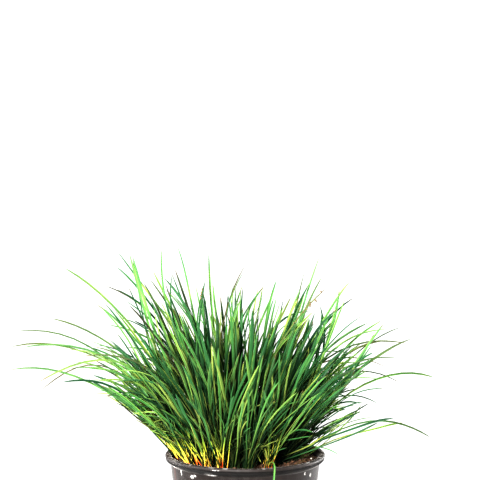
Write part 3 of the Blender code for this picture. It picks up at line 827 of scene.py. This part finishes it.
def bladeRings(blades, t):
    # A thin V of four points (left edge, keel, right edge, channel) is carried along each spine
    # (1-t)^2 foot + 2t(1-t) elbow + t^2 tip, swung sideways by a slow wave and turned by its twist. Its
    # width is 1 - t^taper of the blade's, which closes it at the tip, and less over the foot's length. Its
    # edges stand 0.4 of the fold above the spine, and its keel and channel 0.6 of it below.
    s = bladeSetup
    foot, elbow, tip = (blades[key][:, None] for key in ("foot", "elbow", "tip"))
    facing, twist, phase, sway = (blades[key][:, None, None] for key in ("facing", "twist", "phase", "sway"))
    width, taper, foldShare = (blades[key][:, None, None] for key in ("width", "taper", "fold"))
    spine = (1 - t) ** 2 * foot + 2 * t * (1 - t) * elbow + t ** 2 * tip
    tangent = unit((1 - t) * (elbow - foot) + t * (tip - elbow))
    across = np.cross((0.0, 0.0, 1.0), tip - foot)
    across = unit(across - tangent * (across * tangent).sum(-1, keepdims=True))
    above = np.cross(tangent, across)
    turn = facing + twist * t
    side = np.cos(turn) * across + np.sin(turn) * above
    upper = np.cos(turn) * above - np.sin(turn) * across
    spine = spine + np.sin(phase + s["waves"] * t) * t * (1 - t) * sway * (side + 0.6 * upper)
    length = (np.linalg.norm(elbow - foot, axis=-1) + np.linalg.norm(tip - elbow, axis=-1))[..., None]
    clasp = 1 + (s["footWidth"] - 1) * np.clip(1 - length * t / s["footLength"], 0, 1)
    half = 0.5 * width * (1 - t ** taper) * clasp
    fold = 2 * half * foldShare
    thick = s["thickness"] * (1 - 0.6 * t)
    edges = spine + 0.4 * fold * upper
    middle = spine - 0.6 * fold * upper
    keel, channel = middle - 0.4 * thick * upper, middle + 0.6 * thick * upper
    return np.stack([edges - half * side, keel, edges + half * side, channel], 2), length[:, :, 0]


def bladeSurface(blades, segments):
    # The rings stand at 1 - (1-x)^power for even shares x of the length. They are joined, pointed at the
    # tip and closed at the foot, and every point gets the values that the material reads.
    share = 1 - (1 - np.arange(segments) / segments) ** bladeSetup["segmentPower"]
    rings, length = bladeRings(blades, share[None, :, None])
    count = len(rings)
    points = np.concatenate([rings.reshape(count, -1, 3), blades["tip"][:, None]], 1)
    perBlade = points.shape[1]
    offset = (np.arange(count) * perBlade)[:, None, None]
    point = fanFaces(np.arange(4) + 4 * (segments - 1), perBlade - 1)
    blocks = (gridFaces(segments, 4), point, np.array([[3, 2, 1, 0]]))
    faces = [(block[None] + offset).reshape(-1, block.shape[1]) for block in blocks]
    every = np.zeros((count, 1))
    along = np.append(np.repeat(share, 4), 1.0) + every
    values = {key: blades[key][:, None] + 0 * along for key in ("hue", "dry", "blush", "seed")}
    values["along"] = along
    values["across"] = np.append(np.tile([0.0, 0.5, 1.0, 0.5], segments), 0.5) + every
    values["inner"] = np.append(np.tile([0.5, 0.0, 0.5, 1.0], segments), 0.5) + every
    values["fromFoot"] = along * length / 100  # in tenths of a metre
    # painted shade: the depth in the clump plus the blade's own shade, less towards its tip
    values["depth"] = np.clip(depthInClump(points) + blades["shade"][:, None] * (1 - along ** 2), 0, 1)
    return points.reshape(-1, 3), faces, {key: value.ravel() for key, value in values.items()}


# the share of painted shade that a point gets from where it stands in the clump
def depthInClump(points):
    # From 0 at the clump's outside, a cone that widens upwards, to 1 at its axis near the mix:
    # (depthAtAxis - out / (radius + slope * up)) * (1 - up / height), both kept between 0 and 1
    s = bladeSetup
    up = np.clip(points[..., 2] - potHeight, 0, None)
    aside = points[..., :2] - s["clumpCentre"]
    out = np.hypot(aside[..., 0], aside[..., 1])
    inward = np.clip(s["depthAtAxis"] - out / (s["clumpRadius"] + s["clumpSlope"] * up), 0, 1)
    return inward * np.clip(1 - up / s["clumpHeight"], 0, 1)


def dressed(blades, hue, dry, blush, fold=bladeSetup["foldShare"], sway=1.0, facing=None,
            twist=bladeSetup["twist"], shade=0.0):
    # adds each blade's own chance values: colour, red at the foot, fold, twist, wave and how shaded it is
    s = bladeSetup
    count = len(blades["tip"])
    blades["hue"] = np.clip(draw.normal(*hue, count), 0, s["palestHue"])
    blades["dry"] = np.clip(draw.normal(*dry, count), 0, 1)
    blades["blush"] = draw.uniform(*blush, count)
    blades["seed"] = draw.uniform(0, 1, count)
    blades["shade"] = draw.uniform(0, 1, count) * shade
    blades["fold"] = draw.uniform(*s["foldChance"], count) * fold
    blades["taper"] = draw.uniform(*s["taper"], count)
    blades["twist"] = draw.uniform(-twist, twist, count)
    blades["phase"] = draw.uniform(0, math.tau, count)
    blades["sway"] = draw.uniform(*s["swayChance"], count) * sway * s["sway"]
    if facing is None:
        facing = sidewaysTurn(blades["tip"] - blades["foot"], count)
    blades["facing"] = facing
    return blades


def sidewaysTurn(chord, count):
    # A blade that leans to one side is turned about its spine more than one that leans to the front or
    # back: by sideTurn * the sine of its azimuth from the front, one way or the other, and chance
    sideways = np.abs(chord[:, 0]) / np.maximum(np.hypot(chord[:, 0], chord[:, 1]), 1e-6)
    turned = draw.choice([-1.0, 1.0], count) * sideways * draw.uniform(*bladeSetup["sideTurn"], count)
    return turned + draw.normal(0, bladeSetup["turnChance"], count)


def tinted(blades):
    # a tint's hue and dryness go to the blades whose tips are within reach of one of its places
    for hue, dry, places in tipTints.values():
        offset = blades["tip"][:, None, ::2] - np.array(places) - (0, potHeight)
        near = np.linalg.norm(offset, axis=-1).min(1) < bladeSetup["tipReach"]
        blades["hue"][near] = hue
        blades["dry"][near] = dry
    return blades


def rooted(foot):
    # feet brought a little way into the mix
    foot[:, 2] = mixLevel(foot[:, 0], foot[:, 1]) - bladeSetup["rootDepth"]
    return foot


def rootedNear(heart, count):
    # feet spread evenly round the crown
    angle = draw.uniform(0, math.tau, count)
    out = bladeSetup["footSpread"] * np.sqrt(draw.uniform(0, 1, count))
    return rooted(heart + np.stack([out * np.cos(angle), out * np.sin(angle), 0 * out], -1))


def raised(tip):
    # keeps a tip over the clump's lower outline, the cone slope * (out - start) above the rim
    out = np.hypot(tip[:, 0], tip[:, 1]) - bladeSetup["outlineStart"]
    lowest = potHeight + np.maximum(bladeSetup["outlineSlope"] * out, bladeSetup["lowestTip"])
    tip[:, 2] = np.maximum(tip[:, 2], lowest)
    return tip


def shortened(share, chord):
    # a finer blade's share of its neighbours' length, less for one that leans: share * (1 - loss * lean^2)
    lean = np.hypot(chord[:, :1], chord[:, 1:2]) / np.linalg.norm(chord, axis=1, keepdims=True)
    return share * (1 - bladeSetup["leanLoss"] * lean ** 2)


def ownBlades(blades, bright):
    # the frame's blades, each rooted between the crown's middle and its place on the crown
    s = bladeSetup
    foot = (1 - s["footShare"]) * blades["heart"] + s["footShare"] * blades["foot"]
    made = {"foot": rooted(foot), "elbow": blades["elbow"], "tip": blades["tip"]}
    made["width"] = np.interp(blades["width"], s["frameWidths"], s["drawnWidths"])
    made = dressed(made, hue=(0.45, 0.31), dry=(0.04, 0.12), blush=bright)
    made["hue"] *= np.interp(made["width"], s["hueWidths"], s["hueShares"])
    return tinted(made)


def finerBlades(heart, elbow, tip, lengths, stray):
    # blades from the crown towards an elbow and a tip, each a share of that length, whose elbow and tip
    # stray at random
    count = len(tip)
    atElbow, atTip, most = stray
    shorter = shortened(draw.uniform(*lengths, (count, 1)), tip)
    return {
        "foot": rootedNear(heart, count),
        "elbow": heart + elbow * shorter + draw.normal(0, atElbow, (count, 3)),
        "tip": raised(heart + tip * shorter + draw.normal(0, atTip, (count, 3)) * (most - shorter)),
        "width": draw.uniform(*bladeSetup["fineWidth"], count),
    }


def besideBlades(blades, bright):
    # a finer blade close beside each of the frame's, a little shorter, and parted from it near the tip
    s = bladeSetup
    heart = blades["heart"]
    elbow, tip = blades["elbow"] - heart, blades["tip"] - heart
    made = finerBlades(heart, elbow, tip, s["besideLengths"], s["besideStray"])
    return dressed(made, hue=(0.45, 0.33), dry=(0.04, 0.13), blush=bright, shade=0.3)


def betweenBlades(blades, bright, count, lengths, shade, sway):
    # each lies between two of the shoot's blades, by a random share, and ends short of them
    first, second = draw.integers(0, len(blades["tip"]), (2, count))
    share = draw.uniform(0.05, 0.95, (count, 1))
    heart = blades["heart"][first]
    elbow = share * blades["elbow"][first] + (1 - share) * blades["elbow"][second] - heart
    tip = share * blades["tip"][first] + (1 - share) * blades["tip"][second] - heart
    made = finerBlades(heart, elbow, tip, lengths, bladeSetup["betweenStray"])
    return dressed(made, hue=(0.42, 0.34), dry=(0.05, 0.17), blush=bright, sway=sway, shade=shade)


def sheathBlades(blades, bright, count):
    # short broad outer leaves that clasp the shoot's foot, in the directions of its blades, dry if it is
    # dull; bright is the range of how yellow and red the foot is
    s = bladeSetup
    which = draw.integers(0, len(blades["tip"]), count)
    heart = blades["heart"][which]
    heading = unit(blades["elbow"][which] - heart + draw.normal(0, s["sheathStray"], (count, 3)) * (1, 1, 0))
    out = unit(heading * (1.0, 1.0, 0.0))
    length = draw.uniform(*s["sheathLength"], (count, 1))
    made = {
        "foot": rooted(heart + out * s["sheathOut"]),
        "elbow": heart + heading * length * 0.5 - out,
        "tip": heart + heading * length + (0, 0, s["sheathRise"]),
        "width": draw.uniform(*s["sheathWidth"], count),
    }
    level = bright[1]
    return dressed(made, hue=(0.7, 0.2), dry=(0.7 - 0.65 * level, 0.25), blush=(0.6 * level, level),
                   fold=s["sheathFold"], sway=0.1, twist=0.3, facing=draw.uniform(-0.2, 0.2, count))


def bladeGreen():
    # Red to yellow at the foot by the blush, then green between deep green and lime by the hue, with paler
    # edges and keel, fine parallel veins, brown tips on some, and brown or straw where the blade is dry.
    # Inside the clump, and low on the feet that are not bright, the colour is mixed towards near-black green:
    # painted shade.
    c = bladeSetup["colours"]
    paint = Paint("green blade", Metallic=0.0, Specular_IOR_Level=0.14)
    along, across, inner, fromFoot, hue, dry, blush, seed, depth = (paint.attribute(name) for name in (
        "along", "across", "inner", "fromFoot", "hue", "dry", "blush", "seed", "depth"))
    lengthwise = paint.vector(across * 9.0, fromFoot * 1.6, hue * 40.0 + seed * 17.0)
    strands = paint.noise(lengthwise, 1.0, 3.0, 0.6)
    veins = paint.noise(paint.vector(across * 26.0, fromFoot * 0.8, seed * 90.0), 1.0, 1.0, 0.4)
    drift = paint.noise(paint.vector(fromFoot * 2.2, hue * 31.0, seed * 23.0), 1.0, 2.0)
    edge = across.distance(0.5).step(0.2, 0.46) * seed.step(0.1, 0.6)
    young = fromFoot.step(1.2, 0.2)  # paler green low down
    shift = (drift - 0.5) * 0.6 + (strands - 0.5) * 0.5 + edge * 0.28 + young * 0.16
    colour = paint.ramp(hue + shift - 0.11, c["green"])
    colour = paint.mix(inner.step(0.75, 0.2) * 0.2, colour, c["keel"])
    spots = paint.noise(paint.vector(across * 2.5, fromFoot * 14.0, seed * 50.0), 1.0, 2.0).step(0.66, 0.74)
    dryShare = (dry.step(0.25, 0.75) + dry * spots + dry * along.step(0.3, 1.0)).atMost(1.0)
    brownTip = along.step(0.93, 0.985) * seed.step(0.5, 0.62)
    brown = paint.ramp(strands * 0.7 + seed * 0.3, c["dry"])
    colour = paint.mix((dryShare + brownTip).atMost(1.0) * 0.9, colour, brown)
    foot = paint.ramp(fromFoot * 2.3 + (strands - 0.5) * 0.6 + seed * 0.3 - 0.05, c["foot"])
    blushing = blush.step(0.3, 0.6)
    colour = paint.mix(fromFoot.step(0.5, 0.06) * blushing, colour, foot)
    # painted shade on the feet that are not blushed: darkest near the mix, gone by 75 mm up
    paintedFootShade = fromFoot.step(0.75, 0.05) * blush.step(0.5, 0.15) * 0.7
    brightFoot = fromFoot.step(0.5, 0.15) * blushing
    # painted shade: near-black green by the depth in the clump and low on the feet that are not bright, none
    # on the bright feet
    paintedShade = (depth.step(0.05, 0.75) * 0.95 + paintedFootShade).atMost(0.95) * (1.0 - brightFoot)
    colour = paint.mix(paintedShade, colour, c["shaded"])
    paint.bump(veins * 0.6 + strands * 0.3, bladeSetup["bumpDepth"])
    return paint.finish(Base_Color=colour, Roughness=0.36 + strands * 0.16 + paintedShade * 0.35)


def makeShoots(shootBlades, green):
    s = bladeSetup
    for name, blades in shootBlades.items():
        number = name[-2:]
        level = s["brightFeet"].get(number, draw.uniform(*s["otherFeet"]))
        bright = (0.0, level)
        batches = [
            bladeSurface(ownBlades(blades, bright), s["segments"]),
            bladeSurface(besideBlades(blades, bright), s["segments"]),
            bladeSurface(betweenBlades(blades, bright, *s["between"]), s["fineSegments"]),
            bladeSurface(betweenBlades(blades, s["otherFeet"], *s["core"]), s["fineSegments"]),
            bladeSurface(sheathBlades(blades, bright, s["sheaths"]), s["fineSegments"]),
        ]
        values = {key: np.concatenate([batch[2][key] for batch in batches]) for key in batches[0][2]}
        parts = [batch[:2] for batch in batches]
        addPiece("blades_" + number, parts, green, replaced=[name], sharpDegrees=70, values=values)


shootBlades = {name: gather(frameBlades(name)) for name in shootNames}
print("frame read,", sum(len(blades["tip"]) for blades in shootBlades.values()), "blades")
green = bladeGreen()
makeShoots(shootBlades, green)
print("blades made")


# Dry bits among the shoots' feet, and seed heads

dryBits = {
    # foot and tip, right of the axis, towards the back and above the rim, then the width
    "stem": ((-24, -44, -5), (-22, -46, 25), 2.2),
    "torn sheath": ((-20, -52, -6), (-23, -53, 13), 4.4),
    "folded sheath": ((-16, -50, -6), (-14, -51, 11), 3.8),
    "stump": ((-7, -50, -6), (-5, -51, 4), 3.0),
    "left straw": ((-62, -18, -6), (-70, -22, 14), 1.8),
    "right straw": ((50, -38, -5), (62, -44, 2), 1.6),
}
seedHeads = {
    # the stalk's tip, right of the axis and above the rim, and where along it the spikelets sit
    "tall": ((83, 176), (0.6, 0.7, 0.78, 0.8, 0.83, 0.84, 0.86, 0.89, 0.96)),
    "left": ((-39, 184), (0.85, 0.87, 0.89, 0.92)),
}
seedSetup = {
    "radius": (0.6, 0.95),
    "shape": (1.0, 1.0, 2.0),
    "scatter": 0.9,
    "tilt": 0.5,
    "jitter": 0.15,
    "squareness": 1.0,  # 1 is round
    "bumpDepth": 0.0002,
    "colours": [(0.35, (0.03, 0.018, 0.010)), (0.55, (0.14, 0.09, 0.035)), (0.7, (0.36, 0.30, 0.12))],
}


def makeDryBits(green):
    # blades whose elbow is halfway between foot and tip, give or take chance
    lift = np.array((0.0, 0.0, potHeight))
    foot, tip, width = (np.array(column, float) for column in zip(*dryBits.values()))
    count = len(width)
    elbow = (foot + tip) / 2 + lift + draw.normal(0, 1.0, (count, 3))
    made = {"foot": foot + lift, "elbow": elbow, "tip": tip + lift, "width": width}
    made = dressed(made, hue=(0.7, 0.1), dry=(0.95, 0.03), blush=(0.0, 0.1), fold=0.35, sway=0.2,
                   facing=draw.uniform(-0.4, 0.4, count))
    points, faces, values = bladeSurface(made, bladeSetup["fineSegments"])
    addPiece("dry_bits", [(points, faces)], green, values=values)


def makeSeedHeads(shootBlades):
    # small eggs beside the stalk's spine (1-t)^2 foot + 2t(1-t) elbow + t^2 tip
    s = seedSetup
    every = {key: np.concatenate([blades[key] for blades in shootBlades.values()])
             for key in ("heart", "elbow", "tip")}
    spines = []
    for (right, up), shares in seedHeads.values():
        nearest = np.linalg.norm(every["tip"][:, ::2] - (right, potHeight + up), axis=1).argmin()
        heart, elbow, tip = (every[key][nearest] for key in ("heart", "elbow", "tip"))
        t = np.array(shares)[:, None]
        spines.append((1 - t) ** 2 * heart + 2 * t * (1 - t) * elbow + t ** 2 * tip)
    places = np.concatenate(spines)
    count = len(places)
    places += draw.normal(0, s["scatter"], (count, 3))
    sizes = draw.uniform(*s["radius"], (count, 1)) * s["shape"]
    turns = draw.normal(0, s["tilt"], (count, 3))
    eggs = lumpBatch(places, sizes, turns, s["jitter"], s["squareness"])
    addPiece("seed_heads", [eggs], seedBrown(), sharpDegrees=60)


def seedBrown():
    # dark chaff with straw-coloured edges
    paint = Paint("seed head", Metallic=0.0)
    grain = paint.noise(paint.place(), 1400.0, 3.0)
    paint.bump(grain, seedSetup["bumpDepth"])
    return paint.finish(Base_Color=paint.ramp(grain, seedSetup["colours"]), Roughness=0.55 + grain * 0.3)


makeDryBits(green)
makeSeedHeads(shootBlades)
print("dry bits and seed heads made")
